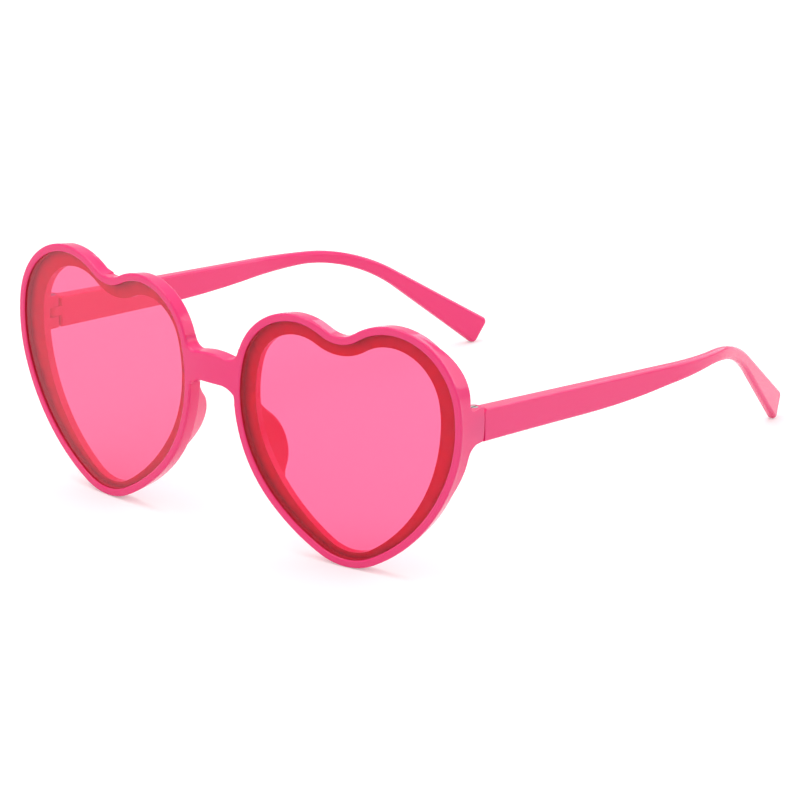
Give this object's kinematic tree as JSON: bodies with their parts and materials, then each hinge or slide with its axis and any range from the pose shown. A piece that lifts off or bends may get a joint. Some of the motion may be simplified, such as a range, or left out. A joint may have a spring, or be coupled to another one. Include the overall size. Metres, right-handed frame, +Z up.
{
  "type": "heart shaped sunglasses",
  "caption": "Heart shaped sunglasses: moulded front with flat see-through lenses, nose pads and end pieces, and folding temples with flared ear ends on hinge screws.",
  "frame": {"origin": "on the floor, under the middle of the bounding box of the opened glasses", "axes": "+Z up, +Y from the front to the ear ends, +X to the wearer's left"},
  "size_m": [0.1404, 0.1598, 0.0599],
  "materials": {
    "frame_plastic": "smooth glossy pink moulded plastic",
    "lens_plastic": "glossy see-through pink sheet",
    "screw_metal": "plain steel"
  },
  "bodies": {
    "front": {"front_frame": "frame_plastic", "left_lens": "lens_plastic", "right_lens": "lens_plastic", "left_hinge_screw": "screw_metal", "right_hinge_screw": "screw_metal"},
    "left_temple_arm": {"left_temple": "frame_plastic"},
    "right_temple_arm": {"right_temple": "frame_plastic"}
  },
  "joints": [
    {"name": "left_temple_fold", "type": "hinge", "parent": "front", "child": "left_temple_arm", "pos_m": [0.06701, -0.06457, 0.03818], "axis": [0, 0, 1], "range_deg": [0, 84]},
    {"name": "right_temple_fold", "type": "hinge", "parent": "front", "child": "right_temple_arm", "pos_m": [-0.06701, -0.06457, 0.03818], "axis": [0, 0, -1], "range_deg": [0, 72]}
  ]
}
